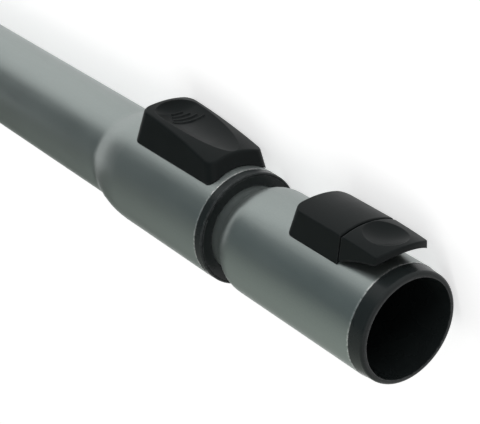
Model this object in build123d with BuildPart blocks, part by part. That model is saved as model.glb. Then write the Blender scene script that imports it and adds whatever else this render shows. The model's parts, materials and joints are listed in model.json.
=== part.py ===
from build123d import *
import os
from math import acos, atan2, cos, degrees, hypot, radians, sin, sqrt, tan

os.makedirs("parts", exist_ok=True)

# Telescopic vacuum wand, millimetres. X runs along the tubes towards the mouth, with 0 at the mouth face.
# The wand lies on its side: on the wide part of its outer tube, on its end collar and on one edge of the
# slide button.

# Tubes: outer radii, all drawn from sheet of one thickness
tube_wall = 0.5
outer_r = 18.0
wide_r = 21.1
handle_r = 18.2
inner_r = 16.25
socket_r = 20.0

# Tubes: places along the wand
outer_front_x = -86.0
swage_front_x = -138.5
swage_rear_x = -157.0
handle_socket_depth = 45.0
handle_step = 3.0
outer_rear_x = -620.0
socket_front_x = -6.1
flare_front_x = -69.0
flare_rear_x = -80.5
inner_rear_x = -525.0
swage_share = 0.18
flare_share = 0.35

# Row of stops that the lock pin drops into
travel = 360.0
stop_pitch = 20.0
stop_depth = 1.8
pin_r = 2.0
pin_gap = 0.1
pin_x = -116.0
pin_half_length = 9.3
pin_lift = 2.0
button_travel = 6.0

# Groove along the inner tube's underside that stops it turning
groove_r = 2.0
groove_depth = 1.2
groove_front_x = -85.5

# Guide bush and its collar
sliding_gap = 0.08
seat_gap = 0.05
collar_face_x = -82.5
collar_r = 20.95
collar_edge = 0.4
collar_line_r = 20.2
collar_line = 0.25
bush_rear_x = -138.0
bush_wall = 1.7
bush_pocket_front_x = -95.0
bush_pocket_rear_x = -132.0
bush_ribs = 10
bush_rib_width = 2.2
seal_width = 3.5
seal_rear_x = -90.5
seal_thickness = 2.1

# Collar on the handle end
end_collar_length = 12.0
end_collar_r = 19.6
end_collar_edge = 0.5
end_collar_ramp = 2.0
end_collar_lip = 0.6

# Window under the button, and the saddle that sits in it
window_front_x = -98.6
window_rear_x = -133.0
window_half = 9.7
window_corner = 2.0
well_half_length = 12.2
well_floor = 13.0
pad_height = 18.6
fit_gap = 0.2
saddle_top = 20.8
saddle_wall_inside = 5.4
saddle_wall_outside = 7.2
rib_slot_half = 2.8
screw_r = 1.0
screw_head_r = 1.8
screw_head_height = 1.2
screw_side = 5.0
screw_tip = 16.9

# Slide button: a tapered block under a crowned top
button_rear_x = -137.9
button_front_x = -86.6
button_base = 14.0
button_base_half = 13.2
button_peak = 32.0
button_rear_lean = 3.8
button_front_lean = 6.8
button_side_lean = 2.4
button_corner = 4.0
button_hollow_rear = 3.8
button_hollow_front = 5.4
button_hollow_side = 3.0
crown_drop = 6.0
button_rear_height = 31.3
button_middle_height = 29.45
button_nose_height = 25.0
button_skirt_gap = 0.2
button_ceiling_rear = 24.2
button_ceiling_front = 21.9
button_edge = 1.3
button_edge_inset = 1.6

# Dish in the button's top, turned about an axis above it, with its grip ribs
dish_axis_height = 48.0
dish_rear_x = -132.2
dish_foot_x = -127.0
dish_front_x = -89.5
dish_rear_floor = 27.5
dish_middle_floor = 26.6
dish_front_floor = 26.3
grip_rib_r = 0.5
grip_rib_pitch = 2.5
grip_ribs = 4
grip_first_distance = 0.3
grip_first_half = 2.4
grip_half_step = 1.5

# Button cheeks that carry the lifting slots, and the rib that loads the spring
cheek_inside = 7.4
cheek_outside = 9.2
cheek_rear = 4.2
cheek_front = 11.0
spring_rib_x = 15.6
spring_rib_thickness = 1.5
spring_rib_half = 2.2
spring_wall_rear = 2.4
spring_wall_front = 3.5
tongue_low = 18.7
tongue_high = 19.5
tongue_depth = 0.9
tongue_rear = 8.4
tongue_gap = 0.15

# Button spring
button_spring_r = 1.9
button_spring_wire_r = 0.25
button_spring_turns = 6
button_spring_height = 18.75

# Half shells and felt on the rear end of the inner tube
rear_guide_length = 16.0
rear_guide_inset = 1.0
rear_guide_split = 0.4
peg_r = 2.0
peg_depth = 0.6
peg_root = 0.3
rear_seal_length = 6.0

# Liner in the socket
liner_bore_r = 17.6
liner_bore_depth = 36.0
liner_relief_r = 18.0
liner_lip_r = 16.6
liner_lip = 1.5
liner_rear_x = -47.0
liner_flange_r = 19.85
liner_nose_r = 19.5
liner_nose_x = -1.6
liner_face_r = 18.5
liner_nose_bulge = 0.25

# Latch housing and lever
latch_r = 28.3
seam_x = -22.6
seam_gap = 0.6
housing_rear_x = -50.0
housing_rear_lean = 4.5
housing_corner = 4.0
latch_base = 14.0
latch_base_half = 11.95
latch_peak = 31.0
latch_taper = 4.4
housing_wall = 1.6
housing_side_wall = 2.25
housing_rear_wall = 6.3
housing_edge = 0.6
lever_corner_x = -5.6
lever_nose_x = -3.3
lever_narrowing = 0.3
lever_edge = 0.6
lever_nose_round = 2.2
lever_heel_r = 21.0
lever_middle_under_r = 23.6
lever_tip_under_r = 25.7
lever_middle_r = 28.0
lever_tip_r = 26.9
lever_dish_x = -13.8
lever_dish_half = 7.8
lever_dish_depth = 2.1
lever_dish_axis_height = 48.0
latch_swing = 7.5

# Rocker arm, hook and axle
axle_x = -25.2
axle_height = 21.4
axle_r = 1.0
axle_gap = 0.05
axle_half_length = 10.4
hub_r = 2.2
hub_half = 7.8
hub_low = 20.6
neck_low = 20.75
neck_high = 24.0
boss_r = 2.4
arm_half = 4.0
arm_low = 20.4
arm_high = 22.2
arm_rear_x = -42.6
hook_half = 3.6
hook_rear_x = -41.6
hook_front_x = -38.2
hook_reach = 1.6
hook_ramp = 1.8
hook_window_rear_x = -43.4
hook_window_front_x = -36.6
hook_window_half = 4.4

# Snap legs of the housing
leg_places = (-43.2, -30.0)
leg_length = 4.0
leg_inside = 8.7
leg_outside = 10.0
leg_barb = 0.8
leg_foot = 15.8
barb_top = 16.1
leg_gap = 0.3
leg_pocket_r = 17.95

# Latch spring
latch_spring_x = -40.0
latch_spring_r = 2.2
latch_spring_wire_r = 0.25
latch_spring_turns = 3

# Worked out from the sizes above
outer_bore_r = outer_r - tube_wall
wide_bore_r = wide_r - tube_wall
inner_bore_r = inner_r - tube_wall
socket_bore_r = socket_r - tube_wall
bush_bore_r = inner_r + sliding_gap
bush_r = wide_bore_r - seat_gap
stop_r = pin_r + pin_gap
pin_height = inner_r - stop_depth + stop_r
stop_count = round(travel / stop_pitch) + 1
stop_places = [(pin_x - stop_pitch * step, pin_height) for step in range(stop_count)]
groove_height = -(inner_r - groove_depth + groove_r)
button_length = button_front_x - button_rear_x
liner_r = socket_bore_r - seat_gap
slot_rise = pin_lift / button_travel
skirt_r = wide_r + button_skirt_gap

# Roll about X at which the wand rests: the button points this far from upright
edge_height = sqrt((button_rear_height + crown_drop) ** 2 - (button_base_half - button_edge_inset) ** 2) - crown_drop
edge_r = hypot(button_base_half - button_edge_inset, edge_height)
edge_angle = degrees(atan2(button_base_half - button_edge_inset, edge_height))
rest_roll = 180 - degrees(acos(wide_r / edge_r)) - edge_angle

# Planes of the wand: plan looks down on the button, side looks across it, section looks along the tubes
button_up = Vector(0, sin(radians(rest_roll)), cos(radians(rest_roll)))
across = Vector(0, cos(radians(rest_roll)), -sin(radians(rest_roll)))
plan = Plane(origin=(0, 0, 0), x_dir=(1, 0, 0), z_dir=button_up)
side = Plane(origin=(0, 0, 0), x_dir=(1, 0, 0), z_dir=-across)
section = Plane(origin=(0, 0, 0), x_dir=across, z_dir=(1, 0, 0))
crown_axis = Axis(origin=button_up * -crown_drop, direction=(1, 0, 0))
upright = Axis(origin=(0, 0, 0), direction=button_up)
dish_axis = Axis(origin=button_up * dish_axis_height, direction=(1, 0, 0))
hollow_rear_x = button_rear_x + button_hollow_rear
hollow_front_x = button_front_x - button_hollow_front
hollow_half = button_base_half - button_hollow_side
housing_length = seam_x - housing_rear_x
latch_peak_half = latch_base_half - (latch_peak - latch_base) * tan(radians(latch_taper))
lever_flare = lever_narrowing / (lever_corner_x - seam_x)
lever_rear_x = seam_x + seam_gap
lever_dish_axis = Axis(origin=button_up * lever_dish_axis_height, direction=(1, 0, 0))
housing_inside_half = latch_base_half - housing_side_wall


def s_bend(start, end, share):
    """Two arcs that join one straight run to a parallel one; the first takes this share of the step."""
    middle = (start[0] + share * (end[0] - start[0]), start[1] + share * (end[1] - start[1]))
    TangentArc(start, middle, tangent=(1, 0))
    TangentArc(end, middle, tangent=(-1, 0))


def tube_section(runs, shares):
    """Half section of a drawn tube: runs of (x from, x to, outer radius), with a bend between each two."""
    with BuildLine() as walls:
        for drop in (0, tube_wall):
            for start, stop, radius in runs:
                Line((start, radius - drop), (stop, radius - drop))
            for before, after, share in zip(runs, runs[1:], shares):
                s_bend((before[1], before[2] - drop), (after[0], after[2] - drop), share)
        for x, radius in ((runs[0][0], runs[0][2]), (runs[-1][1], runs[-1][2])):
            Line((x, radius - tube_wall), (x, radius))
    make_face(walls.edges())


def ring(x_from, x_to, r_from, r_to, mode=Mode.ADD):
    """A plain ring about the tube axis."""
    with BuildSketch(side) as half:
        with Locations(((x_from + x_to) / 2, (r_from + r_to) / 2)):
            Rectangle(x_to - x_from, r_to - r_from)
    revolve(half.sketch, axis=Axis.X, mode=mode)


def block(x_from, x_to, low, high, half_width, mode=Mode.ADD):
    """A block centred across the wand, given by its side view and half its width."""
    with BuildSketch(side) as outline:
        with Locations(((x_from + x_to) / 2, (low + high) / 2)):
            Rectangle(x_to - x_from, high - low)
    extrude(outline.sketch, amount=half_width, both=True, mode=mode)


def twin_blocks(x_from, x_to, low, high, inside, outside, mode=Mode.ADD):
    """The same block on both sides of the wand's middle."""
    for turn in (1, -1):
        with BuildSketch(side.offset(turn * inside)) as outline:
            with Locations(((x_from + x_to) / 2, (low + high) / 2)):
                Rectangle(x_to - x_from, high - low)
        extrude(outline.sketch, amount=turn * (outside - inside), mode=mode)


def cross_rod(x, height, radius, half_length, mode=Mode.ADD):
    """A round rod across the wand."""
    with BuildSketch(side) as outline:
        with Locations((x, height)):
            Circle(radius)
    extrude(outline.sketch, amount=half_length, both=True, mode=mode)


def tilted_side(angle):
    """The side plane moved up to the dish's axis and turned about it by this angle in degrees."""
    turn = radians(angle)
    return Plane(origin=button_up * dish_axis_height, x_dir=(1, 0, 0),
                 z_dir=button_up * -sin(turn) - across * cos(turn))


def leg_pocket(leg_x):
    """Room for one pair of the housing's legs in the liner, down to a floor left under them."""
    half_slot = leg_length / 2 + leg_gap
    with BuildPart() as pocket:
        twin_blocks(leg_x - half_slot, leg_x + half_slot, 0, socket_r, leg_inside - leg_gap,
                    leg_outside + leg_barb + leg_gap)
        with BuildSketch(section.offset(leg_x - leg_length)):
            Circle(leg_pocket_r)
        extrude(amount=2 * leg_length, mode=Mode.SUBTRACT)
    return pocket.part


def coil(length, radius, wire_r, turns, start, direction):
    """An open coil spring, its wire drawn with six sides; start is the middle of its first end."""
    with BuildLine() as centre_line:
        Helix(pitch=length / turns, height=length, radius=radius, center=start, direction=direction)
    with BuildSketch(Plane(origin=centre_line.line @ 0, z_dir=centre_line.line % 0)) as wire:
        RegularPolygon(wire_r, 6)
    sweep(wire.sketch, path=centre_line.line)


# Outer tube: narrow behind, swaged wide in front, opened a little at the handle end
with BuildPart() as outer_tube:
    with BuildSketch(side):
        handle_step_x = outer_rear_x + handle_socket_depth
        tube_section(
            (
                (outer_rear_x, handle_step_x, handle_r),
                (handle_step_x + handle_step, swage_rear_x, outer_r),
                (swage_front_x, outer_front_x, wide_r),
            ),
            (0.5, swage_share),
        )
    revolve(axis=Axis.X)
    with BuildSketch(plan):
        with Locations(((window_front_x + window_rear_x) / 2, 0)):
            RectangleRounded(window_front_x - window_rear_x, 2 * window_half, window_corner)
    extrude(amount=wide_r + tube_wall, mode=Mode.SUBTRACT)
outer_tube.part.label = "outer_tube"
export_step(outer_tube.part, "parts/outer_tube.step")

# End collar: moulded ring pressed over the tube's handle end, thinner towards the front
with BuildPart() as end_collar:
    ring(outer_rear_x, outer_rear_x + end_collar_length, handle_r + seat_gap, end_collar_r)
    collar_rims = end_collar.edges().filter_by(GeomType.CIRCLE).group_by(SortBy.RADIUS)[-1].sort_by(Axis.X)
    fillet(collar_rims[0], radius=end_collar_edge)
    chamfer(collar_rims[-1], length=end_collar_ramp, length2=end_collar_r - handle_r - end_collar_lip)
end_collar.part.label = "end_collar"
export_step(end_collar.part, "parts/end_collar.step")

# Inner side of the pressed stops and of the groove, which keeps the wall whole behind them
with BuildPart() as pressed_metal:
    with BuildSketch(side):
        with Locations(*stop_places):
            Circle(stop_r + tube_wall)
    extrude(amount=inner_r, both=True)
    with BuildSketch(section.offset(inner_rear_x)):
        with Locations((0, groove_height)):
            Circle(groove_r + tube_wall)
    extrude(amount=groove_front_x - inner_rear_x)
    with Locations(side.from_local_coords((groove_front_x, groove_height, 0))):
        Sphere(groove_r + tube_wall)
    with BuildSketch(section.offset(inner_rear_x)):
        Circle(inner_r - tube_wall / 2)
    extrude(amount=socket_front_x - inner_rear_x, mode=Mode.INTERSECT)

# Inner tube: stops under the button, groove on the far side, flare and socket at the mouth
with BuildPart() as inner_tube:
    with BuildSketch(side):
        tube_section(
            ((inner_rear_x, flare_rear_x, inner_r), (flare_front_x, socket_front_x, socket_r)),
            (flare_share,),
        )
    revolve(axis=Axis.X)
    add(pressed_metal.part)
    with BuildSketch(side):
        with Locations(*stop_places):
            Circle(stop_r)
    extrude(amount=inner_r, both=True, mode=Mode.SUBTRACT)
    with BuildSketch(section.offset(inner_rear_x)):
        with Locations((0, groove_height)):
            Circle(groove_r)
    extrude(amount=groove_front_x - inner_rear_x, mode=Mode.SUBTRACT)
    with Locations(side.from_local_coords((groove_front_x, groove_height, 0))):
        Sphere(groove_r, mode=Mode.SUBTRACT)
    rear_guide_rear_x = inner_rear_x + rear_guide_inset
    peg_x = rear_guide_rear_x + rear_guide_length / 2
    cross_rod(peg_x, 0, peg_r + seat_gap, socket_r, mode=Mode.SUBTRACT)
    block(hook_window_rear_x, hook_window_front_x, 0, socket_r, hook_window_half, mode=Mode.SUBTRACT)
    for leg_x in leg_places:
        half_slot = leg_length / 2 + leg_gap
        slot_out = leg_outside + leg_barb + leg_gap
        twin_blocks(leg_x - half_slot, leg_x + half_slot, 0, socket_r, leg_inside - leg_gap, slot_out,
                    mode=Mode.SUBTRACT)
inner_tube.part.label = "inner_tube"
export_step(inner_tube.part, "parts/inner_tube.step")

# Guide bush: collar outside, cored sleeve inside the wide part, key in the groove
with BuildPart() as guide_bush:
    ring(bush_rear_x, collar_face_x, bush_bore_r, bush_r)
    ring(outer_front_x, collar_face_x, bush_bore_r, collar_r)
    chamfer(guide_bush.edges().filter_by(GeomType.CIRCLE).group_by(Axis.X)[-1].sort_by(SortBy.RADIUS)[-1],
            length=collar_edge)
    ring(collar_face_x - collar_line, collar_face_x, collar_line_r - collar_line, collar_line_r,
         mode=Mode.SUBTRACT)
    with BuildSketch(section.offset(bush_pocket_rear_x)):
        Circle(wide_r)
        Circle(bush_bore_r + bush_wall, mode=Mode.SUBTRACT)
        with PolarLocations(0, bush_ribs, start_angle=90):
            Rectangle(2 * wide_r, bush_rib_width, align=(Align.MIN, Align.CENTER), mode=Mode.SUBTRACT)
        with Locations((0, wide_r)):
            Rectangle(2 * window_half + 2 * bush_rib_width, 2 * wide_r, mode=Mode.SUBTRACT)
    extrude(amount=bush_pocket_front_x - bush_pocket_rear_x, mode=Mode.SUBTRACT)
    with BuildSketch(section.offset(bush_rear_x)):
        with Locations((0, groove_height)):
            Circle(groove_r - pin_gap)
        Circle(bush_bore_r + bush_wall / 2, mode=Mode.INTERSECT)
    extrude(amount=seal_rear_x - bush_rear_x)
    ring(seal_rear_x, seal_rear_x + seal_width, bush_bore_r, bush_bore_r + seal_thickness, mode=Mode.SUBTRACT)
    block(pin_x - well_half_length, pin_x + well_half_length, well_floor, wide_r, window_half,
          mode=Mode.SUBTRACT)
    block(window_rear_x, window_front_x, pad_height, wide_r, wide_r, mode=Mode.SUBTRACT)
    block(pin_x, window_front_x, well_floor, wide_r, rib_slot_half, mode=Mode.SUBTRACT)
    with BuildSketch(plan.offset(well_floor)):
        with Locations((window_rear_x / 2 + (pin_x - well_half_length) / 2, 0)):
            Circle(screw_r + seat_gap)
        for turn in (1, -1):
            with Locations((window_front_x / 2 + (pin_x + well_half_length) / 2, turn * screw_side)):
                Circle(screw_r + seat_gap)
    extrude(amount=wide_r - well_floor, mode=Mode.SUBTRACT)
guide_bush.part.label = "guide_bush"
export_step(guide_bush.part, "parts/guide_bush.step")

# Wiper seal: felt ring in the groove behind the collar
with BuildPart() as wiper_seal:
    seal_bore_r = bush_bore_r - sliding_gap / 2
    ring(seal_rear_x + seat_gap, seal_rear_x + seal_width - seat_gap, seal_bore_r,
         bush_bore_r + seal_thickness - seat_gap)
    with BuildSketch(section.offset(seal_rear_x)):
        with Locations((0, groove_height)):
            Circle(groove_r - pin_gap)
        Circle(bush_bore_r + seal_thickness / 2, mode=Mode.INTERSECT)
    extrude(amount=seal_width - seat_gap)
    ring(seal_rear_x - seal_width, seal_rear_x + seat_gap, inner_bore_r / 2, wide_r, mode=Mode.SUBTRACT)
wiper_seal.part.label = "wiper_seal"
export_step(wiper_seal.part, "parts/wiper_seal.step")

# Button guide: saddle in the window, with upright slots that hold the lock pin
screw_rear_x = (window_rear_x + pin_x - well_half_length) / 2
screw_front_x = (window_front_x + pin_x + well_half_length) / 2
screw_places = ((screw_rear_x, 0), (screw_front_x, screw_side), (screw_front_x, -screw_side))
with BuildPart() as button_guide:
    saddle_foot = sqrt(bush_bore_r ** 2 - saddle_wall_inside ** 2) + fit_gap / 2
    twin_blocks(pin_x - well_half_length + fit_gap, pin_x + well_half_length - fit_gap, saddle_foot,
                saddle_top, saddle_wall_inside, saddle_wall_outside)
    saddle_half = saddle_wall_outside
    block(window_rear_x + fit_gap, pin_x - well_half_length + fit_gap + 1, pad_height, saddle_top, saddle_half)
    block(pin_x + well_half_length - fit_gap - 1, window_front_x - fit_gap, pad_height, saddle_top, saddle_half)
    block(pin_x + well_half_length - fit_gap - 2, window_front_x, 0, wide_r, rib_slot_half, mode=Mode.SUBTRACT)
    block(pin_x + spring_wall_rear, pin_x + spring_wall_front, inner_r + fit_gap + 0.1, saddle_top,
          saddle_wall_inside)
    with BuildSketch(side):
        with Locations((pin_x, pin_height + pin_lift), (pin_x, 0)):
            Circle(stop_r)
        make_hull()
    extrude(amount=wide_r, both=True, mode=Mode.SUBTRACT)
    groove_inside = cheek_inside - tongue_depth - tongue_gap
    twin_blocks(pin_x, pin_x + well_half_length, tongue_low - tongue_gap, tongue_high + tongue_gap,
                groove_inside, saddle_wall_outside, mode=Mode.SUBTRACT)
    with BuildSketch(plan):
        with Locations(*screw_places):
            Circle(screw_r + seat_gap)
    extrude(amount=wide_r, mode=Mode.SUBTRACT)
    with BuildSketch(plan.offset(saddle_top - screw_head_height)):
        with Locations(*screw_places):
            Circle(screw_head_r + seat_gap)
    extrude(amount=wide_r, mode=Mode.SUBTRACT)
button_guide.part.label = "button_guide"
export_step(button_guide.part, "parts/button_guide.step")

# Screws that hold the guide to the bush
for screw_name, screw_place in zip(("guide_screw_rear", "guide_screw_left", "guide_screw_right"), screw_places):
    with BuildPart() as guide_screw:
        with BuildSketch(plan.offset(screw_tip)):
            with Locations(screw_place):
                Circle(screw_r)
        extrude(amount=saddle_top - screw_head_height - screw_tip)
        with BuildSketch(plan.offset(saddle_top - screw_head_height)):
            with Locations(screw_place):
                Circle(screw_head_r)
        extrude(amount=screw_head_height)
    guide_screw.part.label = screw_name
    export_step(guide_screw.part, f"parts/{screw_name}.step")

# Lock pin: lies across the wand in a stop of the inner tube
with BuildPart() as lock_pin:
    cross_rod(pin_x, pin_height, pin_r, pin_half_length)
    chamfer(lock_pin.edges().filter_by(GeomType.CIRCLE), length=pin_gap * 3)
lock_pin.part.label = "lock_pin"
export_step(lock_pin.part, "parts/lock_pin.step")

# Works inside the button: two cheeks with the lifting slots, the rib that loads the spring, the tongues
with BuildPart() as button_works:
    twin_blocks(pin_x - cheek_rear, pin_x + cheek_front, well_floor, button_ceiling_rear, cheek_inside, cheek_outside)
    with BuildSketch(section.offset(pin_x - well_half_length)):
        Circle(bush_bore_r + seat_gap)
    extrude(amount=2 * well_half_length, mode=Mode.SUBTRACT)
    with BuildSketch(side):
        with Locations((pin_x, pin_height), (pin_x + button_travel, pin_height + pin_lift)):
            Circle(stop_r)
        make_hull()
    extrude(amount=button_base_half, both=True, mode=Mode.SUBTRACT)
    twin_blocks(pin_x + tongue_rear, pin_x + cheek_front, tongue_low, tongue_high, cheek_inside - tongue_depth,
                cheek_inside + seat_gap)
    block(pin_x + spring_rib_x, pin_x + spring_rib_x + spring_rib_thickness, inner_r + 2 * fit_gap,
          button_ceiling_rear, spring_rib_half)

# Slide button: tapered block, crowned, dished for the thumb and hollow below
with BuildPart() as slide_button:
    with BuildSketch(plan.offset(button_base)):
        with Locations(((button_rear_x + button_front_x) / 2, 0)):
            RectangleRounded(button_length, 2 * button_base_half, button_corner)
    with BuildSketch(plan.offset(button_peak)):
        peak_middle = (button_rear_x + button_rear_lean + button_front_x - button_front_lean) / 2
        with Locations((peak_middle, 0)):
            RectangleRounded(button_length - button_rear_lean - button_front_lean,
                             2 * (button_base_half - button_side_lean), button_corner)
    loft()
    with BuildSketch(side):
        with BuildLine():
            crown = ThreePointArc(
                (button_rear_x - 1, button_rear_height),
                ((button_rear_x + button_front_x) / 2, button_middle_height),
                (button_front_x + 1, button_nose_height),
            )
            Polyline(crown @ 1, (button_front_x + 1, -crown_drop), (button_rear_x - 1, -crown_drop), crown @ 0)
        make_face()
    revolve(axis=crown_axis, mode=Mode.INTERSECT)
    fillet(slide_button.faces().sort_by(upright)[-1].edges(), radius=button_edge)
    with BuildSketch(side):
        with BuildLine():
            floor = ThreePointArc(
                (dish_foot_x, dish_rear_floor),
                ((dish_foot_x + dish_front_x) / 2, dish_middle_floor),
                (dish_front_x, dish_front_floor),
            )
            rear_wall = TangentArc(floor @ 0, (dish_rear_x, button_rear_height), tangent=-(floor % 0))
            Polyline(floor @ 1, (dish_front_x, button_peak), (dish_rear_x, button_peak), rear_wall @ 1)
        make_face()
    revolve(axis=dish_axis, mode=Mode.SUBTRACT)
    for step in range(grip_ribs):
        rib_distance = grip_first_distance - step * grip_rib_pitch
        dish_run = rear_wall if rib_distance > 0 else floor
        rib_place = dish_run.position_at(abs(rib_distance), PositionMode.LENGTH)
        rib_drop = dish_axis_height - rib_place.Y
        rib_angle = degrees((grip_first_half + step * grip_half_step) / rib_drop)
        with BuildSketch(tilted_side(-rib_angle)):
            with Locations((rib_place.X, -rib_drop)):
                Circle(grip_rib_r)
        revolve(axis=dish_axis, revolution_arc=2 * rib_angle)
    with BuildSketch(section.offset(button_rear_x)):
        Circle(skirt_r)
    extrude(amount=button_length, mode=Mode.SUBTRACT)
    with BuildSketch(side):
        with BuildLine():
            Polyline(
                (hollow_rear_x, 0),
                (hollow_rear_x, button_ceiling_rear),
                (hollow_front_x, button_ceiling_front),
                (hollow_front_x, 0),
                close=True,
            )
        make_face()
    extrude(amount=hollow_half, both=True, mode=Mode.SUBTRACT)
    add(button_works.part)
slide_button.part.label = "slide_button"
export_step(slide_button.part, "parts/slide_button.step")

# Button spring: lies along the wand between the guide's cross wall and the button's rib
with BuildPart() as button_spring:
    spring_start_x = pin_x + spring_wall_front + button_spring_wire_r + seat_gap
    spring_length = pin_x + spring_rib_x - button_spring_wire_r - seat_gap - spring_start_x
    coil(spring_length, button_spring_r, button_spring_wire_r, button_spring_turns,
         side.from_local_coords((spring_start_x, button_spring_height, 0)), (1, 0, 0))
button_spring.part.label = "button_spring"
export_step(button_spring.part, "parts/button_spring.step")

# Rear guides: two half shells pegged into the inner tube, they run in the narrow outer tube
for turn, shell_name in ((1, "rear_guide_left"), (-1, "rear_guide_right")):
    with BuildPart() as rear_guide:
        ring(rear_guide_rear_x, rear_guide_rear_x + rear_guide_length, inner_r + seat_gap,
             outer_bore_r - sliding_gap)
        chamfer(rear_guide.edges().filter_by(GeomType.CIRCLE).group_by(SortBy.RADIUS)[-1], length=rear_guide_split)
        with BuildSketch(side.offset(turn * rear_guide_split / 2)):
            with Locations((peg_x, 0)):
                Rectangle(2 * rear_guide_length, 4 * outer_r)
        extrude(amount=-turn * 2 * outer_r, mode=Mode.SUBTRACT)
        with BuildSketch(side.offset(turn * (inner_bore_r - peg_depth))):
            with Locations((peg_x, 0)):
                Circle(peg_r)
        extrude(amount=turn * (peg_depth + tube_wall + 2 * seat_gap + peg_root))
    rear_guide.part.label = shell_name
    export_step(rear_guide.part, f"parts/{shell_name}.step")

# Rear seal: felt ring in front of the half shells
with BuildPart() as rear_seal:
    seal_start_x = rear_guide_rear_x + rear_guide_length + seat_gap
    ring(seal_start_x, seal_start_x + rear_seal_length, inner_r + seat_gap, outer_bore_r - seat_gap)
rear_seal.part.label = "rear_seal"
export_step(rear_seal.part, "parts/rear_seal.step")

# Socket liner: mouth ring, bore for the tool's neck, relief behind it and the lip that stops the neck
with BuildPart() as socket_liner:
    with BuildSketch(side):
        with BuildLine():
            mouth = ThreePointArc(
                (liner_nose_x, liner_nose_r),
                (liner_nose_x / 3, (liner_nose_r + liner_face_r) / 2 + liner_nose_bulge),
                (0, liner_face_r),
            )
            Polyline(
                mouth @ 1,
                (0, liner_bore_r),
                (-liner_bore_depth, liner_bore_r),
                (-liner_bore_depth, liner_relief_r),
                (liner_rear_x + liner_lip, liner_relief_r),
                (liner_rear_x + liner_lip, liner_lip_r),
                (liner_rear_x, liner_lip_r),
                (liner_rear_x, liner_r),
                (socket_front_x, liner_r),
                (socket_front_x, liner_flange_r),
                mouth @ 0,
            )
        make_face()
    revolve(axis=Axis.X)
    block(hook_window_rear_x, hook_window_front_x, 0, socket_r, hook_window_half, mode=Mode.SUBTRACT)
    for leg_x in leg_places:
        add(leg_pocket(leg_x), mode=Mode.SUBTRACT)
socket_liner.part.label = "socket_liner"
export_step(socket_liner.part, "parts/socket_liner.step")

# Latch housing: hollow cover behind the seam, sprung into the socket by its four legs
with BuildPart() as housing_hollow:
    block(housing_rear_x + housing_rear_wall, seam_x, 0, latch_peak, housing_inside_half)
    with BuildSketch(section.offset(housing_rear_x)):
        Circle(latch_r - housing_wall)
    extrude(amount=housing_length, mode=Mode.INTERSECT)

with BuildPart() as latch_housing:
    with BuildSketch(plan.offset(latch_base)):
        with Locations((seam_x, 0)):
            RectangleRounded(2 * housing_length, 2 * latch_base_half, housing_corner)
    with BuildSketch(plan.offset(latch_peak)):
        with Locations((seam_x, 0)):
            RectangleRounded(2 * (housing_length - housing_rear_lean), 2 * latch_peak_half, housing_corner)
    loft()
    with BuildSketch(section.offset(housing_rear_x)):
        Circle(latch_r)
    extrude(amount=housing_length, mode=Mode.INTERSECT)
    fillet(latch_housing.faces().sort_by(upright)[-1].edges(), radius=housing_edge)
    add(housing_hollow.part, mode=Mode.SUBTRACT)
    for turn in (1, -1):
        with BuildSketch(side.offset(turn * (hub_half + fit_gap / 2))):
            with Locations((axle_x, axle_height)):
                Circle(boss_r)
        extrude(amount=turn * (housing_inside_half - hub_half))
    cross_rod(axle_x, axle_height, axle_r + axle_gap, axle_half_length + axle_gap, mode=Mode.SUBTRACT)
    with BuildSketch(section.offset(housing_rear_x)):
        Circle(socket_r + seat_gap)
    extrude(amount=housing_length, mode=Mode.SUBTRACT)
    for leg_x in leg_places:
        half_leg = leg_length / 2
        twin_blocks(leg_x - half_leg, leg_x + half_leg, leg_foot, axle_height, leg_inside, leg_outside)
        twin_blocks(leg_x - half_leg, leg_x + half_leg, leg_foot, barb_top, leg_outside - seat_gap,
                    leg_outside + leg_barb)
latch_housing.part.label = "latch_housing"
export_step(latch_housing.part, "parts/latch_housing.step")

# Latch lever: beak in front of the seam, hub on the axle, arm behind it with the hook
with BuildPart() as lever_dish:
    with BuildSketch(side):
        with BuildLine():
            bowl = ThreePointArc(
                (lever_dish_x - lever_dish_half, latch_r + seat_gap),
                (lever_dish_x, lever_middle_r - lever_dish_depth),
                (lever_dish_x + lever_dish_half, lever_tip_r + lever_edge),
            )
            Polyline(bowl @ 1, bowl @ 1 + (0, latch_base), bowl @ 0 + (0, latch_base), bowl @ 0)
        make_face()
    revolve(axis=lever_dish_axis)

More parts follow.
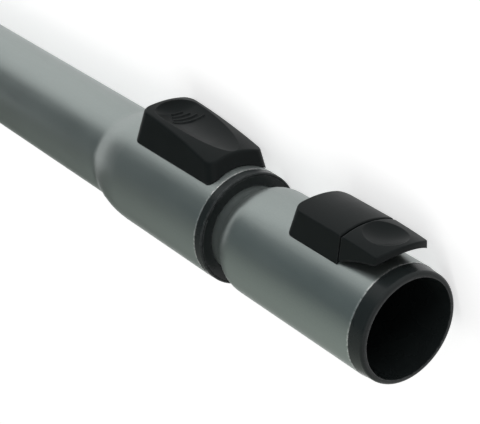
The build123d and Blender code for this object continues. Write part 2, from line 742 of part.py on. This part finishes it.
with BuildPart() as latch_lever:
    with BuildSketch(plan.offset(latch_base)):
        with BuildLine():
            corner_half = latch_base_half - lever_narrowing
            nose = ThreePointArc((lever_corner_x, -corner_half), (lever_nose_x, 0), (lever_corner_x, corner_half))
            behind_x = lever_rear_x - latch_base
            behind_half = corner_half + lever_flare * (lever_corner_x - behind_x)
            Polyline(nose @ 1, (behind_x, behind_half), (behind_x, -behind_half), nose @ 0)
        make_face()
        fillet(vertices().group_by(Axis.X)[-1], radius=lever_nose_round)
    extrude(amount=latch_peak - latch_base, taper=latch_taper)
    with BuildSketch(side):
        with BuildLine():
            back = ThreePointArc((lever_rear_x, latch_r), (lever_dish_x, lever_middle_r), (0, lever_tip_r))
            belly = ThreePointArc((lever_rear_x, lever_heel_r), (lever_dish_x, lever_middle_under_r),
                                  (0, lever_tip_under_r))
            Line(back @ 0, belly @ 0)
            Line(back @ 1, belly @ 1)
        make_face()
    revolve(axis=Axis.X, mode=Mode.INTERSECT)
    fillet(latch_lever.faces().sort_by(upright)[-1].edges(), radius=lever_edge)
    add(lever_dish.part, mode=Mode.SUBTRACT)
    block(axle_x, lever_rear_x + lever_edge, neck_low, neck_high, hub_half)
    cross_rod(axle_x, axle_height, hub_r, hub_half)
    block(arm_rear_x, axle_x, arm_low, arm_high, arm_half)
    with BuildSketch(side):
        with BuildLine():
            hook_low = liner_bore_r - hook_reach
            Polyline(
                (hook_rear_x, arm_high),
                (hook_rear_x, hook_low),
                (hook_front_x - hook_ramp, hook_low),
                (hook_front_x, hook_low + hook_ramp),
                (hook_front_x, arm_high),
                close=True,
            )
        make_face()
    extrude(amount=hook_half, both=True)
    block(axle_x - 2 * hub_r, axle_x + hub_r, 0, hub_low, 2 * hub_half, mode=Mode.SUBTRACT)
    cross_rod(axle_x, axle_height, axle_r + axle_gap, 2 * hub_half, mode=Mode.SUBTRACT)
latch_lever.part.label = "latch_lever"
export_step(latch_lever.part, "parts/latch_lever.step")

# Latch axle: lies in blind holes of the housing's side walls
with BuildPart() as latch_axle:
    cross_rod(axle_x, axle_height, axle_r, axle_half_length)
latch_axle.part.label = "latch_axle"
export_step(latch_axle.part, "parts/latch_axle.step")

# Latch spring: stands on the arm under the housing's roof and pushes the hook down
with BuildPart() as latch_spring:
    spring_foot = arm_high + latch_spring_wire_r + seat_gap
    spring_room = latch_r - housing_wall - latch_spring_r ** 2 / latch_r - latch_spring_wire_r - spring_foot
    coil(spring_room, latch_spring_r, latch_spring_wire_r, latch_spring_turns,
         side.from_local_coords((latch_spring_x, spring_foot, 0)), button_up)
latch_spring.part.label = "latch_spring"
export_step(latch_spring.part, "parts/latch_spring.step")
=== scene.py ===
import json
from math import atan2, cos, radians, sin, tan

import bpy
from bpy.props import FloatProperty, FloatVectorProperty, PointerProperty
from mathutils import Matrix, Vector


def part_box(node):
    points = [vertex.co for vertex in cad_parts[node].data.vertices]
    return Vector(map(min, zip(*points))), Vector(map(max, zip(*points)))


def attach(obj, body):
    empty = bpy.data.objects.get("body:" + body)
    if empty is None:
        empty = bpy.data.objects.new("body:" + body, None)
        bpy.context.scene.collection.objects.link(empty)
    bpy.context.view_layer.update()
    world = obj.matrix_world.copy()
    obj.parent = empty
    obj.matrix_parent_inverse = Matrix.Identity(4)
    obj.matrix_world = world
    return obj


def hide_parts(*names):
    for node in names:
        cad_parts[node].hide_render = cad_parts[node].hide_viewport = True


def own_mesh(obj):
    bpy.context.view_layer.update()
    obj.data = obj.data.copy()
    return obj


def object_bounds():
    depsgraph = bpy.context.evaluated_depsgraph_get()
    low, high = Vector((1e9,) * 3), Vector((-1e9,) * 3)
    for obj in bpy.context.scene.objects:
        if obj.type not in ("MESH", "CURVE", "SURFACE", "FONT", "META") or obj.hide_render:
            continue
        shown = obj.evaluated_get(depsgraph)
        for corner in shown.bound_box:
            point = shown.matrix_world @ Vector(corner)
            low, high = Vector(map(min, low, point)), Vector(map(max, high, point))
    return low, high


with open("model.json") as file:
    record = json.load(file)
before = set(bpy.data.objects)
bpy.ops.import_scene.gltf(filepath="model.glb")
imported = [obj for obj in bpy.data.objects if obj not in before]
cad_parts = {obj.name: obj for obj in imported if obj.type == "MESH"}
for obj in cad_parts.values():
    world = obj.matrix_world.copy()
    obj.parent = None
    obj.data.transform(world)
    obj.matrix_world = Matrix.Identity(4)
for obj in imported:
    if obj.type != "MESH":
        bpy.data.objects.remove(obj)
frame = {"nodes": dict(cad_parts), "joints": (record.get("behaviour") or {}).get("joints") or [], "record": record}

bl_info = {
    "name": "Vacuum Wand Finishes",
    "version": (1, 0, 0),
    "blender": (4, 5, 0),
    "location": "View3D > Sidebar > Wand",
    "description": "Finishes a telescopic vacuum wand and sets its studio",
    "category": "Material",
}

cad_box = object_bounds()
nodes = frame["nodes"]


def joint_named(name):
    """The frame's entry for this joint."""
    return next(joint for joint in frame["joints"] if joint["name"] == name)


def nodes_of(slot):
    """Names of the CAD nodes that the record gives this material slot."""
    return [part["node"] for part in frame["record"]["subparts"] if part["material_slot"] == slot]


ALONG = Vector((1.0, 0.0, 0.0))
button_up = Vector(joint_named("pin_lift")["axis"])

# The mouldings that a hand works, with a softer skin than the ones that other pieces slide in
HANDLED = ("slide_button", "latch_housing", "latch_lever")

# The camera as solved from the photograph, in metres, with the tube along X and the camera over it
PHOTO_BUTTON_ROLL = radians(50.5)
PHOTO_CAMERA = Vector((0.29909, 0.0, 0.38565))
PHOTO_RIGHT = Vector((0.59788, 0.53136, -0.60017))
PHOTO_UP = Vector((-0.36998, 0.84713, 0.38143))
PHOTO_FORWARD = Vector((-0.71110, 0.00600, -0.70307))
SENSOR_WIDTH = 36.0

# Stage, in metres: the lamps aim at LIT_PLACE, and the cards stand round CARD_MIDDLE
FLOOR_SIDE = 8.0
FLOOR_MIDDLE_X = -0.2
LIT_PLACE = Vector((-0.1, 0.0, 0.0))
OVERHEAD_PLACE = (-0.15, -0.25, 0.95)
OVERHEAD_SIZE = (0.9, 0.7)
SIDE_PLACE = (-0.1, 0.9, 0.10)
SIDE_SIZE = (1.2, 0.16)
CARD_MIDDLE = Vector((-0.85, 0.0, 0.0))
CARD_DISTANCE = 0.8
CARD_LENGTH = 2.6
CARD_REAR_X = -1.35
CARD_FRONT_X = -0.45
CARD_REAR_STRENGTH = 0.2
CARD_FRONT_STRENGTH = 1.7

# Angles of the cards round the wand from upright, and half of what each spans, in degrees
DARK_CARD_ANGLE = 42.0
DARK_CARD_HALF = 31.0
GREY_CARD_ANGLE = -42.0
GREY_CARD_HALF = 55.0

WHITE = (1.0, 1.0, 1.0, 1.0)
BLACK = (0.0, 0.0, 0.0, 1.0)
WARM_LIGHT = (1.0, 0.99, 0.96)
COOL_LIGHT = (0.95, 0.98, 1.0)


def colour(name, default, description):
    return FloatVectorProperty(name=name, description=description, subtype="COLOR", size=3,
                               min=0.0, max=1.0, default=default)


def share(name, default, description):
    return FloatProperty(name=name, description=description, subtype="FACTOR",
                         min=0.0, max=1.0, default=default)


def length(name, default, description):
    return FloatProperty(name=name, description=description, subtype="DISTANCE", unit="LENGTH",
                         min=0.0, precision=5, default=default)


def amount(name, default, description):
    return FloatProperty(name=name, description=description, min=0.0, default=default)


class WandTubeFinish(bpy.types.PropertyGroup):
    """Satin metallic paint of the two tubes"""
    paint: colour("Paint", (0.30, 0.335, 0.325), "Colour of the metallic paint")
    bare: colour("Bare Steel", (0.80, 0.80, 0.79), "Colour of the steel where the paint has worn through")
    metal: share("Metallic", 0.86, "How metallic the paint is")
    roughness: share("Roughness", 0.40, "Roughness of the paint")
    flake: length("Flake Size", 0.00022, "Size of the paint's metal flakes")
    edge: length("Edge Wear", 0.0013, "Width of the worn line along the sheet's edges")


class WandMouldingFinish(bpy.types.PropertyGroup):
    """Black moulded plastic"""
    body: colour("Plastic", (0.0085, 0.0105, 0.0105), "Colour of the black plastic")
    rubbed: colour("Rubbed", (0.035, 0.037, 0.038), "Colour of its edges where they are rubbed")
    roughness: share("Roughness", 0.35, "Roughness of the moulded skin")
    sheen: share("Sheen", 0.075, "How strongly the skin reflects")
    grain: length("Grain Size", 0.00035, "Size of the mould's fine texture")
    edge: length("Edge Radius", 0.0004, "Radius that the moulded edges show")


class WandHiddenFinish(bpy.types.PropertyGroup):
    """Pieces that only show when the wand is looked into"""
    slider: colour("Slider Plastic", (0.62, 0.61, 0.57), "Colour of the sliding pieces' natural plastic")
    steel: colour("Steel", (0.56, 0.56, 0.55), "Colour of the pins, springs and screws")
    felt: colour("Felt", (0.16, 0.155, 0.145), "Colour of the felt seals")


class WandStage(bpy.types.PropertyGroup):
    """Camera, lamps and floor"""
    lens: FloatProperty(name="Lens", description="Focal length in millimetres", subtype="DISTANCE_CAMERA",
                        min=1.0, default=116.82)
    ambient: amount("Ambient", 0.42, "Strength of the even light from all round")
    key: amount("Overhead Lamp", 1.6, "Power of the lamp over the wand, in watts")
    side: amount("Side Lamp", 6.0, "Power of the low lamp on the button's side, in watts")
    floor: colour("Floor", (0.80, 0.80, 0.80), "Colour of the floor")
    lift: amount("Floor Lift", 0.60, "Brightness added to the floor where it is the background")
    dark: colour("Dark Card", (0.04, 0.07, 0.078), "Shade that the tubes reflect as their dark band")
    grey: colour("Grey Card", (0.355, 0.385, 0.355), "Shade that they reflect as their broad lower band")


class NodeBench:
    """Places and joins the nodes of one material or one group."""

    def __init__(self, tree):
        self.tree = tree

    def place(self, kind, inputs=None, **settings):
        node = self.tree.nodes.new(kind)
        for name, value in settings.items():
            setattr(node, name, value)
        for socket, value in (inputs or {}).items():
            if isinstance(value, bpy.types.NodeSocket):
                self.tree.links.new(value, node.inputs[socket])
            else:
                node.inputs[socket].default_value = value
        return node

    def math(self, operation, first, second=0.0, third=0.0, clamp=False):
        return self.place("ShaderNodeMath", {0: first, 1: second, 2: third}, operation=operation,
                          use_clamp=clamp).outputs[0]

    def spread(self, value, low, high, to_low=0.0, to_high=1.0):
        return self.place("ShaderNodeMapRange", {"Value": value, "From Min": low, "From Max": high,
                                                 "To Min": to_low, "To Max": to_high}).outputs[0]

    def mix(self, factor, first, second):
        node = self.place("ShaderNodeMix", data_type="RGBA")
        for socket, value in ((0, factor), (6, first), (7, second)):
            if isinstance(value, bpy.types.NodeSocket):
                self.tree.links.new(value, node.inputs[socket])
            else:
                node.inputs[socket].default_value = value
        return node.outputs[2]


def new_group(name, inputs, outputs):
    """A shader node group with number inputs; returns the tree, its bench, its input and its output node."""
    tree = bpy.data.node_groups.new(name, "ShaderNodeTree")
    for label, default in inputs:
        socket = tree.interface.new_socket(label, in_out="INPUT", socket_type="NodeSocketFloat")
        socket.default_value = default
    for label in outputs:
        tree.interface.new_socket(label, in_out="OUTPUT", socket_type="NodeSocketFloat")
    bench = NodeBench(tree)
    return tree, bench, bench.place("NodeGroupInput"), bench.place("NodeGroupOutput")


def edge_wear_group():
    """Mask of the sharp outer edges, broken up by noise."""
    inputs = (("Width", 0.0005), ("Breakup", 900.0), ("Amount", 0.7))
    tree, bench, given, result = new_group("Edge Wear", inputs, ("Mask",))
    place = bench.place("ShaderNodeTexCoord").outputs["Object"]
    bevel = bench.place("ShaderNodeBevel", {"Radius": given.outputs["Width"]}, samples=6)
    flat = bench.place("ShaderNodeNewGeometry").outputs["Normal"]
    bend = bench.place("ShaderNodeVectorMath", {0: bevel.outputs[0], 1: flat}, operation="DOT_PRODUCT")
    turned = bench.spread(bend.outputs["Value"], 0.995, 0.86)
    noise = bench.place("ShaderNodeTexNoise", {"Vector": place, "Scale": given.outputs["Breakup"],
                                               "Detail": 4.0})
    broken = bench.spread(noise.outputs[0], 0.38, 0.62)
    worn = bench.math("MULTIPLY", turned, broken, clamp=True)
    tree.links.new(bench.math("MULTIPLY", worn, given.outputs["Amount"]), result.inputs["Mask"])
    return tree


def mottling_group():
    """Slow variation over a surface, such as handling marks, between 0 and 1."""
    tree, bench, given, result = new_group("Mottling", (("Scale", 60.0), ("Contrast", 0.5)), ("Value",))
    place = bench.place("ShaderNodeTexCoord").outputs["Object"]
    broad = bench.place("ShaderNodeTexNoise", {"Vector": place, "Scale": given.outputs["Scale"],
                                               "Detail": 3.0, "Roughness": 0.6, "Distortion": 0.4}).outputs[0]
    away = bench.math("MULTIPLY", bench.math("SUBTRACT", broad, 0.5), given.outputs["Contrast"])
    value = bench.math("ADD", bench.math("MULTIPLY", away, 2.0), 0.5, clamp=True)
    tree.links.new(value, result.inputs["Value"])
    return tree


def grain_group():
    """Fine skin of a moulded or painted surface, as a height between 0 and 1."""
    tree, bench, given, result = new_group("Fine Grain", (("Size", 0.0003), ("Softness", 0.5)), ("Height",))
    place = bench.place("ShaderNodeTexCoord").outputs["Object"]
    scale = bench.math("DIVIDE", 1.0, given.outputs["Size"])
    pits = bench.place("ShaderNodeTexVoronoi", {"Vector": place, "Scale": scale}, feature="SMOOTH_F1")
    tree.links.new(given.outputs["Softness"], pits.inputs["Smoothness"])
    swell = bench.place("ShaderNodeTexNoise", {"Vector": place, "Scale": bench.math("MULTIPLY", scale, 0.4),
                                               "Detail": 2.0}).outputs[0]
    tree.links.new(bench.math("ADD", bench.math("MULTIPLY", pits.outputs["Distance"], 0.6),
                              bench.math("MULTIPLY", swell, 0.4)), result.inputs["Height"])
    return tree


def drawn_lines_group():
    """Faint lines left along a tube by drawing and sliding, between 0 and 1."""
    tree, bench, given, result = new_group("Drawn Lines", (("Scale", 1500.0), ("Stretch", 0.02)), ("Value",))
    place = bench.place("ShaderNodeTexCoord").outputs["Object"]
    along = bench.place("ShaderNodeCombineXYZ", {0: given.outputs["Stretch"], 1: 1.0, 2: 1.0})
    pulled = bench.place("ShaderNodeVectorMath", {0: place, 1: along.outputs[0]}, operation="MULTIPLY")
    lines = bench.place("ShaderNodeTexNoise", {"Vector": pulled.outputs[0], "Scale": given.outputs["Scale"],
                                               "Detail": 3.0, "Roughness": 0.65}).outputs[0]
    tree.links.new(lines, result.inputs["Value"])
    return tree


GROUP_MAKERS = {
    "Edge Wear": edge_wear_group,
    "Mottling": mottling_group,
    "Fine Grain": grain_group,
    "Drawn Lines": drawn_lines_group,
}


def use_group(bench, name, **inputs):
    """A shared effect placed in a material with its own values."""
    tree = bpy.data.node_groups.get(name) or GROUP_MAKERS[name]()
    node = bench.place("ShaderNodeGroup", node_tree=tree)
    for socket, value in inputs.items():
        node.inputs[socket].default_value = value
    return node.outputs[0]


def new_material(name):
    """An empty material with its shader; returns the material, its bench and the shader node."""
    material = bpy.data.materials.new(name)
    material.use_nodes = True
    tree = material.node_tree
    tree.nodes.clear()
    bench = NodeBench(tree)
    shader = bench.place("ShaderNodeBsdfPrincipled")
    output = bench.place("ShaderNodeOutputMaterial", {"Surface": shader.outputs[0]})
    output.is_active_output = True
    return material, bench, shader


def join(bench, shader, **links):
    """Joins outputs to the shader's sockets, whose names are given with _ for a space."""
    for socket, value in links.items():
        bench.tree.links.new(value, shader.inputs[socket.replace("_", " ")])


def settle(shader, **values):
    """Sets constants on the shader's own sockets."""
    for socket, value in values.items():
        shader.inputs[socket.replace("_", " ")].default_value = value


def rgba(value, scale=1.0):
    """A colour with its alpha, made lighter or darker by scale."""
    return tuple(channel * scale for channel in value) + (1.0,)


def dress(names, material):
    """Gives CAD nodes a material and smooth shading on all but their sharp edges."""
    for name in names:
        mesh = nodes[name].data
        mesh.materials.clear()
        mesh.materials.append(material)
        for face in mesh.polygons:
            face.use_smooth = True


def seat_spring(name, body, way, squeeze):
    """A copy of the CAD node's coil in its place, attached to the body, after checking that squeeze is less than
    its length along way.
    """
    coil = bpy.data.objects.new(name.replace("spring", "coil"), nodes[name].data.copy())
    bpy.context.scene.collection.objects.link(coil)
    coil.matrix_world = nodes[name].matrix_world
    bpy.context.view_layer.update()
    points = [coil.matrix_world @ vertex.co for vertex in coil.data.vertices]
    first = min(points, key=way.dot)
    last = max(points, key=way.dot)
    whole = way.dot(last - first)
    if not 0.0 < squeeze < whole:
        raise ValueError(name + " can't shorten by " + str(squeeze))
    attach(coil, body)
    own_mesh(coil)
    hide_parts(name)
    nodes[name] = coil


class WAND_OT_seat_springs(bpy.types.Operator):
    """Puts copies of the coils in place of the CAD springs, after checking that each joint's travel is shorter
    than its coil
    """
    bl_idname = "wand.seat_springs"
    bl_label = "Seat Springs"

    def execute(self, context):
        slide = joint_named("button_slide")
        seat_spring("button_spring", "outer", ALONG, slide["range_m"][1])
        press = joint_named("latch_press")
        low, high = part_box("latch_spring")
        arm = press["pos_m"][0] - (low[0] + high[0]) / 2
        rise = arm * sin(radians(press["range_deg"][1]))
        seat_spring("latch_spring", "inner", -button_up, rise)
        return {"FINISHED"}


class WAND_OT_paint_tubes(bpy.types.Operator):
    """Gives both tubes their satin metallic paint"""
    bl_idname = "wand.paint_tubes"
    bl_label = "Paint Tubes"

    def execute(self, context):
        finish = context.scene.wand_tube_finish
        material, bench, shader = new_material("Satin Grey Tube Paint")
        marks = use_group(bench, "Mottling", Scale=38.0, Contrast=0.8)
        lines = use_group(bench, "Drawn Lines", Scale=1500.0, Stretch=0.02)
        flakes = use_group(bench, "Fine Grain", Size=finish.flake, Softness=0.3)
        worn = use_group(bench, "Edge Wear", Width=finish.edge, Breakup=1100.0, Amount=1.8)
        depth = bench.mix(marks, rgba(finish.paint, 0.95), rgba(finish.paint, 1.05))
        glint = bench.spread(flakes, 0.25, 0.75)
        sparkle = bench.mix(glint, rgba(finish.paint, 0.9), rgba(finish.paint, 1.12))
        painted = bench.mix(0.5, depth, sparkle)
        streaks = bench.spread(lines, 0.3, 0.7, finish.roughness - 0.03, finish.roughness + 0.03)
        roughness = bench.math("ADD", bench.spread(marks, 0.2, 0.8, -0.03, 0.03), streaks)
        skin = bench.math("ADD", bench.math("MULTIPLY", flakes, 0.5), bench.math("MULTIPLY", lines, 0.5))
        bump = bench.place("ShaderNodeBump", {"Height": skin, "Strength": 0.06, "Distance": 0.00004})
        settle(shader, Metallic=finish.metal, Coat_Weight=0.18, Coat_Roughness=0.32, Coat_IOR=1.45)
        join(bench, shader, Base_Color=bench.mix(worn, painted, rgba(finish.bare)), Roughness=roughness,
             Normal=bump.outputs[0])
        dress(nodes_of("tube_paint"), material)
        return {"FINISHED"}


def mould_black(finish, name, members, depth=1.0, wear_and_highlight_scale=1.0, gloss=0.0, reflection=1.0, pits=0.22):
    """Black plastic in a few skins.

    The finish's colour and its sheen are scaled by depth and reflection, its roughness is lowered by gloss, and
    pits is the strength of its grain.
    The colour of the rubbed edges is scaled by the argument after depth: at 1 it is the plastic's real rubbed
    wear, and above 1 it is a painted highlight along the edges.
    """
    material, bench, shader = new_material(name)
    marks = use_group(bench, "Mottling", Scale=90.0, Contrast=0.9)
    grain = use_group(bench, "Fine Grain", Size=finish.grain, Softness=0.6)
    # Edge mask: real rubbed wear on the handled mouldings, and the place of a painted highlight line where the
    # edge colour is scaled above 1
    rubbed = use_group(bench, "Edge Wear", Width=2.0 * finish.edge, Breakup=700.0, Amount=0.8)
    body = bench.mix(marks, rgba(finish.body, 0.9 * depth), rgba(finish.body, 1.1 * depth))
    rough = finish.roughness - gloss
    handled = bench.spread(marks, 0.2, 0.8, rough - 0.04, rough + 0.04)
    roughness = bench.math("SUBTRACT", handled, bench.math("MULTIPLY", rubbed, 0.1))
    rounded = bench.place("ShaderNodeBevel", {"Radius": finish.edge}, samples=6)
    bump = bench.place("ShaderNodeBump", {"Height": grain, "Strength": pits, "Distance": 0.00008,
                                          "Normal": rounded.outputs[0]})
    settle(shader, IOR=1.5, Specular_IOR_Level=reflection * finish.sheen)
    # The edges take the rubbed colour times the edge scale; above 1 this is a painted highlight, not wear
    join(bench, shader, Base_Color=bench.mix(rubbed, body, rgba(finish.rubbed, wear_and_highlight_scale)),
         Roughness=roughness, Normal=bump.outputs[0])
    dress(members, material)


class WAND_OT_finish_mouldings(bpy.types.Operator):
    """Gives the black mouldings their fine mould texture, rubbed edges on the handled ones and painted highlight
    lines along the edges of the others
    """
    bl_idname = "wand.finish_mouldings"
    bl_label = "Finish Black Mouldings"

    def execute(self, context):
        finish = context.scene.wand_moulding_finish
        bearings = [name for name in nodes_of("black_plastic") if name not in HANDLED]
        mould_black(finish, "Black Satin Moulding", HANDLED)
        # The bearings' edges are three times the rubbed colour: a painted highlight line along the collar and ring
        # edges
        mould_black(finish, "Black Bearing Moulding", bearings, depth=1.6, wear_and_highlight_scale=3.0, gloss=0.07,
                    reflection=2.6, pits=0.10)
        return {"FINISHED"}


class WAND_OT_finish_sliders(bpy.types.Operator):
    """Gives the hidden guides their natural plastic"""
    bl_idname = "wand.finish_sliders"
    bl_label = "Finish Guides"

    def execute(self, context):
        finish = context.scene.wand_hidden_finish
        material, bench, shader = new_material("Natural Slider Plastic")
        marks = use_group(bench, "Mottling", Scale=120.0, Contrast=0.9)
        lines = use_group(bench, "Drawn Lines", Scale=900.0, Stretch=0.04)
        grain = use_group(bench, "Fine Grain", Size=0.0005, Softness=0.8)
        body = bench.mix(marks, rgba(finish.slider, 0.92), rgba(finish.slider, 1.05))
        bump = bench.place("ShaderNodeBump", {"Height": grain, "Strength": 0.1, "Distance": 0.00008})
        settle(shader, IOR=1.48, Subsurface_Weight=0.1, Subsurface_Scale=0.002)
        join(bench, shader, Base_Color=body, Roughness=bench.spread(lines, 0.3, 0.7, 0.34, 0.46),
             Normal=bump.outputs[0])
        dress(nodes_of("white_plastic"), material)
        return {"FINISHED"}


class WAND_OT_finish_steel(bpy.types.Operator):
    """Gives the pins, springs and screws their drawn steel"""
    bl_idname = "wand.finish_steel"
    bl_label = "Finish Steel"

    def execute(self, context):
        finish = context.scene.wand_hidden_finish
        material, bench, shader = new_material("Drawn Steel")
        marks = use_group(bench, "Mottling", Scale=400.0, Contrast=0.9)
        lines = use_group(bench, "Drawn Lines", Scale=2600.0, Stretch=0.1)
        worn = use_group(bench, "Edge Wear", Width=0.0002, Breakup=1500.0, Amount=0.6)
        body = bench.mix(marks, rgba(finish.steel, 0.85), rgba(finish.steel, 1.1))
        bump = bench.place("ShaderNodeBump", {"Height": lines, "Strength": 0.15, "Distance": 0.00003})
        settle(shader, Metallic=1.0)
        join(bench, shader, Base_Color=bench.mix(worn, body, rgba(finish.steel, 1.3)),
             Roughness=bench.spread(lines, 0.3, 0.7, 0.22, 0.36), Normal=bump.outputs[0])
        dress(nodes_of("steel"), material)
        return {"FINISHED"}


class WAND_OT_finish_felt(bpy.types.Operator):
    """Gives the seals their pressed felt"""
    bl_idname = "wand.finish_felt"
    bl_label = "Finish Felt"

    def execute(self, context):
        finish = context.scene.wand_hidden_finish
        material, bench, shader = new_material("Pressed Felt")
        marks = use_group(bench, "Mottling", Scale=500.0, Contrast=1.0)
        fibres = use_group(bench, "Drawn Lines", Scale=3500.0, Stretch=0.5)
        body = bench.mix(marks, rgba(finish.felt, 0.8), rgba(finish.felt, 1.2))
        bump = bench.place("ShaderNodeBump", {"Height": fibres, "Strength": 0.6, "Distance": 0.0002})
        settle(shader, Sheen_Weight=0.3, Sheen_Roughness=0.5)
        join(bench, shader, Base_Color=body, Roughness=bench.spread(fibres, 0.3, 0.7, 0.85, 0.98),
             Normal=bump.outputs[0])
        dress(nodes_of("felt"), material)
        return {"FINISHED"}


def aim(thing, place, target, up=Vector((0.0, 0.0, 1.0))):
    """Stands a lamp or card at a place, its back to -Z, facing the target."""
    back = (Vector(place) - Vector(target)).normalized()
    right = up.cross(back).normalized()
    turn = Matrix((right, back.cross(right), back)).transposed().to_4x4()
    thing.matrix_world = Matrix.Translation(place) @ turn


def add_lamp(name, place, size, power, tint):
    """A soft lamp turned to LIT_PLACE, seen neither by the camera nor in a reflection."""
    data = bpy.data.lights.new(name, "AREA")
    data.shape = "RECTANGLE"
    data.size, data.size_y = size
    data.energy = power
    data.color = tint
    lamp = bpy.data.objects.new(name, data)
    bpy.context.scene.collection.objects.link(lamp)
    lamp.visible_camera = lamp.visible_glossy = False
    aim(lamp, place, LIT_PLACE)


def add_panel(name, width, height):
    """A flat panel facing its own +Z."""
    mesh = bpy.data.meshes.new(name)
    x, y = width / 2, height / 2
    mesh.from_pydata([(-x, -y, 0), (x, -y, 0), (x, y, 0), (-x, y, 0)], [], [(0, 1, 2, 3)])
    panel = bpy.data.objects.new(name, mesh)
    bpy.context.scene.collection.objects.link(panel)
    return panel


def add_card(name, angle, half_angle, shade):
    """A card along the wand, turned round it from upright, that only reflections show."""
    turn = radians(angle)
    card = add_panel(name, CARD_LENGTH, 2 * CARD_DISTANCE * tan(radians(half_angle)))
    aim(card, CARD_MIDDLE + CARD_DISTANCE * Vector((0.0, sin(turn), cos(turn))), CARD_MIDDLE)
    card.visible_camera = card.visible_diffuse = card.visible_shadow = card.visible_transmission = False
    material, bench, shader = new_material(name)
    settle(shader, Base_Color=BLACK, Roughness=1.0, Specular_IOR_Level=0.0, Emission_Color=rgba(shade))
    place = bench.place("ShaderNodeNewGeometry").outputs["Position"]
    x = bench.place("ShaderNodeSeparateXYZ", {0: place}).outputs[0]
    fade = bench.spread(x, CARD_REAR_X, CARD_FRONT_X, CARD_REAR_STRENGTH, CARD_FRONT_STRENGTH)
    join(bench, shader, Emission_Strength=fade)
    card.data.materials.append(material)


def seen_white(bench):
    """Mask of the rays that see the background itself or its reflection."""
    path = bench.place("ShaderNodeLightPath")
    seen = bench.math("MAXIMUM", path.outputs["Is Camera Ray"], path.outputs["Is Glossy Ray"])
    return bench.math("MAXIMUM", seen, path.outputs["Is Transmission Ray"])


def add_camera(lens):
    """The photograph's camera, rolled about the wand as far as the wand lies rolled from the photograph."""
    data = bpy.data.cameras.new("Photo Camera")
    data.sensor_fit = "HORIZONTAL"
    data.sensor_width = SENSOR_WIDTH
    data.lens = lens
    data.clip_start = 0.01
    camera = bpy.data.objects.new("Photo Camera", data)
    bpy.context.scene.collection.objects.link(camera)
    rest_roll = atan2(button_up.y, button_up.z)
    roll = Matrix.Rotation(PHOTO_BUTTON_ROLL - rest_roll, 4, "X")
    turn = Matrix((PHOTO_RIGHT, PHOTO_UP, -PHOTO_FORWARD)).transposed().to_4x4()
    camera.matrix_world = roll @ Matrix.Translation(PHOTO_CAMERA) @ turn
    bpy.context.scene.camera = camera


def light_round(ambient):
    """Even light from all round, white where it is seen or reflected."""
    world = bpy.data.worlds.new("Studio")
    world.use_nodes = True
    world.node_tree.nodes.clear()
    bench = NodeBench(world.node_tree)
    strength = bench.spread(seen_white(bench), 0.0, 1.0, ambient, 1.0)
    light = bench.place("ShaderNodeBackground", {"Color": WHITE, "Strength": strength})
    bench.place("ShaderNodeOutputWorld", {"Surface": light.outputs[0]})
    bpy.context.scene.world = world


def lay_floor(shade, lift):
    """A pale floor under the wand that keeps its shadow and is lifted to white where it is seen."""
    floor = add_panel("Floor", FLOOR_SIDE, FLOOR_SIDE)
    floor.location = (FLOOR_MIDDLE_X, 0.0, cad_box[0][2])
    material, bench, shader = new_material("Floor")
    settle(shader, Base_Color=rgba(shade), Roughness=1.0, Specular_IOR_Level=0.0, Emission_Color=WHITE)
    join(bench, shader, Emission_Strength=bench.spread(seen_white(bench), 0.0, 1.0, 0.0, lift))
    floor.data.materials.append(material)


class WAND_OT_set_stage(bpy.types.Operator):
    """Sets the camera of the photograph, the lamps, the white background and the floor"""
    bl_idname = "wand.set_stage"
    bl_label = "Set Stage"

    def execute(self, context):
        stage = context.scene.wand_stage
        add_camera(stage.lens)
        light_round(stage.ambient)
        lay_floor(stage.floor, stage.lift)
        add_card("Dark Card", DARK_CARD_ANGLE, DARK_CARD_HALF, stage.dark)
        add_card("Grey Card", GREY_CARD_ANGLE, GREY_CARD_HALF, stage.grey)
        add_lamp("Overhead Lamp", OVERHEAD_PLACE, OVERHEAD_SIZE, stage.key, WARM_LIGHT)
        add_lamp("Side Lamp", SIDE_PLACE, SIDE_SIZE, stage.side, COOL_LIGHT)
        return {"FINISHED"}


class WAND_PT_panel(bpy.types.Panel):
    """Lists the wand's sizes, colours and steps"""
    bl_label = "Vacuum Wand"
    bl_idname = "WAND_PT_panel"
    bl_space_type = "VIEW_3D"
    bl_region_type = "UI"
    bl_category = "Wand"

    def draw(self, context):
        layout = self.layout
        for label, group in SETTINGS.items():
            box = layout.box()
            settings = getattr(context.scene, label)
            for name in group.__annotations__:
                box.prop(settings, name)
        for step in STEPS:
            layout.operator(step.bl_idname)


SETTINGS = {
    "wand_tube_finish": WandTubeFinish,
    "wand_moulding_finish": WandMouldingFinish,
    "wand_hidden_finish": WandHiddenFinish,
    "wand_stage": WandStage,
}
STEPS = (
    WAND_OT_set_stage,
    WAND_OT_seat_springs,
    WAND_OT_paint_tubes,
    WAND_OT_finish_mouldings,
    WAND_OT_finish_sliders,
    WAND_OT_finish_steel,
    WAND_OT_finish_felt,
)
CLASSES = tuple(SETTINGS.values()) + STEPS + (WAND_PT_panel,)


def register():
    for item in CLASSES:
        bpy.utils.register_class(item)
    for label, group in SETTINGS.items():
        setattr(bpy.types.Scene, label, PointerProperty(type=group))


def unregister():
    for label in SETTINGS:
        delattr(bpy.types.Scene, label)
    for item in reversed(CLASSES):
        bpy.utils.unregister_class(item)


def main():
    register()
    for step in STEPS:
        family, name = step.bl_idname.split(".")
        getattr(getattr(bpy.ops, family), name)()
    bpy.context.scene.view_settings.view_transform = "Standard"


if __name__ == "__main__":
    main()
